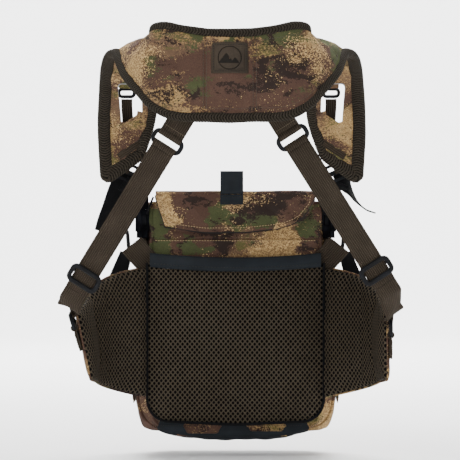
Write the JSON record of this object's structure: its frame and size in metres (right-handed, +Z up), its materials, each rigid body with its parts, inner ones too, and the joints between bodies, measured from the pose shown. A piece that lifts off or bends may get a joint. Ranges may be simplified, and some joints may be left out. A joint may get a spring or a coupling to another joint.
{
  "type": "binocular harness pack",
  "caption": "Padded chest pack for binoculars with a hinged lid, two mesh-lined side wings, a shoulder yoke and adjustable webbing straps with sliders and release buckles.",
  "frame": {"origin": "middle of the pack's chest face, which rests on the wearer", "axes": "+X to the wearer's right, +Y forward away from the wearer, +Z up"},
  "size_m": [0.3516, 0.3569, 0.4361],
  "materials": {
    "camo_fabric": "printed brushed fabric",
    "mesh_foam": "open spacer mesh",
    "binding_knit": "ribbed knit",
    "webbing": "ribbed woven webbing",
    "dark_webbing": "smooth woven webbing",
    "hypalon": "matte coated fabric",
    "black_plastic": "moulded satin",
    "patch_rubber": "moulded matte"
  },
  "bodies": {
    "harness": {"pack_rear": "camo_fabric", "pack_front": "camo_fabric", "pack_side_left": "camo_fabric", "pack_side_right": "camo_fabric", "pack_base": "camo_fabric", "back_pad": "mesh_foam", "back_band": "hypalon", "bottom_guard": "hypalon", "front_pocket": "camo_fabric", "zip_tape": "dark_webbing", "side_pockets": "camo_fabric", "corner_tabs": "webbing", "ladder_locks": "black_plastic", "arm_anchors": "webbing", "yoke_pad": "camo_fabric", "edge_binding": "binding_knit", "patch": "patch_rubber", "stabilizer_rings": "black_plastic", "stabilizer_straps": "dark_webbing", "keeper_loops": "black_plastic", "keeper_straps": "webbing", "buckle_female_left": "black_plastic", "buckle_female_right": "black_plastic", "shoulder_strap_left": "dark_webbing", "shoulder_strap_right": "dark_webbing", "strap_tail_left": "dark_webbing", "strap_tail_right": "dark_webbing", "arm_left": "camo_fabric", "arm_right": "camo_fabric", "yoke_tab_left": "webbing", "yoke_tab_right": "webbing", "yoke_ring_left": "black_plastic", "yoke_ring_right": "black_plastic", "side_strap_left": "webbing", "side_strap_right": "webbing", "stabilizer_tab_left": "webbing", "stabilizer_tab_right": "webbing"},
    "lid": {"lid": "camo_fabric", "tab_base": "hypalon", "lid_elastics": "dark_webbing"},
    "pull_tab": {"pull_tab": "hypalon"},
    "zip_slider": {"zip_slider": "black_plastic"},
    "zip_pull": {"zip_pull": "black_plastic"},
    "slider_left": {"slider_left": "black_plastic"},
    "plug_left": {"buckle_male_left": "black_plastic"},
    "latch_front_left": {"latch_front_left": "black_plastic"},
    "latch_rear_left": {"latch_rear_left": "black_plastic"},
    "wing_left": {"wing_left": "mesh_foam", "wing_tab_left": "webbing", "wing_ring_left": "black_plastic", "wing_strap_left": "webbing"},
    "slider_right": {"slider_right": "black_plastic"},
    "plug_right": {"buckle_male_right": "black_plastic"},
    "latch_front_right": {"latch_front_right": "black_plastic"},
    "latch_rear_right": {"latch_rear_right": "black_plastic"},
    "wing_right": {"wing_right": "mesh_foam", "wing_tab_right": "webbing", "wing_ring_right": "black_plastic", "wing_strap_right": "webbing"}
  },
  "joints": [
    {"name": "lid_hinge", "type": "hinge", "parent": "harness", "child": "lid", "pos_m": [0, 0.1078, 0.154], "axis": [-1, 0, 0], "range_deg": [0, 110]},
    {"name": "pull_tab_flex", "type": "hinge", "parent": "lid", "child": "pull_tab", "pos_m": [0, 0.0035, 0.164], "axis": [1, 0, 0], "range_deg": [0, 80], "stiffness_Nm_per_rad": 0.02},
    {"name": "zip_slide", "type": "slide", "parent": "harness", "child": "zip_slider", "axis": [1, 0, 0], "range_m": [0, 0.116]},
    {"name": "zip_pull_swing", "type": "hinge", "parent": "zip_slider", "child": "zip_pull", "pos_m": [-0.058, 0.1122, 0.092], "axis": [1, 0, 0], "range_deg": [0, 150]},
    {"name": "slider_slide_left", "type": "slide", "parent": "harness", "child": "slider_left", "axis": [0.4986, -0.3667, 0.7855], "range_m": [0, 0.09]},
    {"name": "buckle_release_left", "type": "slide", "parent": "harness", "child": "plug_left", "axis": [0, 0, 1], "range_m": [0, 0.024], "deforming": ["shoulder_strap_left"]},
    {"name": "latch_front_left", "type": "hinge", "parent": "plug_left", "child": "latch_front_left", "pos_m": [-0.10462, 0.03792, 0.1439], "axis": [-0.9659, -0.2588, 0], "range_deg": [0, 7], "stiffness_Nm_per_rad": 0.05},
    {"name": "latch_rear_left", "type": "hinge", "parent": "plug_left", "child": "latch_rear_left", "pos_m": [-0.10038, 0.02208, 0.1439], "axis": [0.9659, 0.2588, 0], "range_deg": [0, 7], "stiffness_Nm_per_rad": 0.05},
    {"name": "wing_fold_left", "type": "hinge", "parent": "harness", "child": "wing_left", "pos_m": [-0.0955, 0.003, 0], "axis": [0, 0, -1], "range_deg": [-8, 8], "stiffness_Nm_per_rad": 0.8, "deforming": ["wing_strap_left"]},
    {"name": "slider_slide_right", "type": "slide", "parent": "harness", "child": "slider_right", "axis": [-0.5068, -0.3559, 0.7852], "range_m": [0, 0.09]},
    {"name": "buckle_release_right", "type": "slide", "parent": "harness", "child": "plug_right", "axis": [0, 0, 1], "range_m": [0, 0.024], "deforming": ["shoulder_strap_right"]},
    {"name": "latch_front_right", "type": "hinge", "parent": "plug_right", "child": "latch_front_right", "pos_m": [0.10462, 0.03792, 0.1439], "axis": [-0.9659, 0.2588, 0], "range_deg": [0, 7], "stiffness_Nm_per_rad": 0.05},
    {"name": "latch_rear_right", "type": "hinge", "parent": "plug_right", "child": "latch_rear_right", "pos_m": [0.10038, 0.02208, 0.1439], "axis": [0.9659, -0.2588, 0], "range_deg": [0, 7], "stiffness_Nm_per_rad": 0.05},
    {"name": "wing_fold_right", "type": "hinge", "parent": "harness", "child": "wing_right", "pos_m": [0.0955, 0.003, 0], "axis": [0, 0, 1], "range_deg": [-8, 8], "stiffness_Nm_per_rad": 0.8, "deforming": ["wing_strap_right"]}
  ],
  "couplings": [
    {"joint": "latch_rear_left", "follows": "latch_front_left", "ratio": 1},
    {"joint": "latch_rear_right", "follows": "latch_front_right", "ratio": 1}
  ]
}
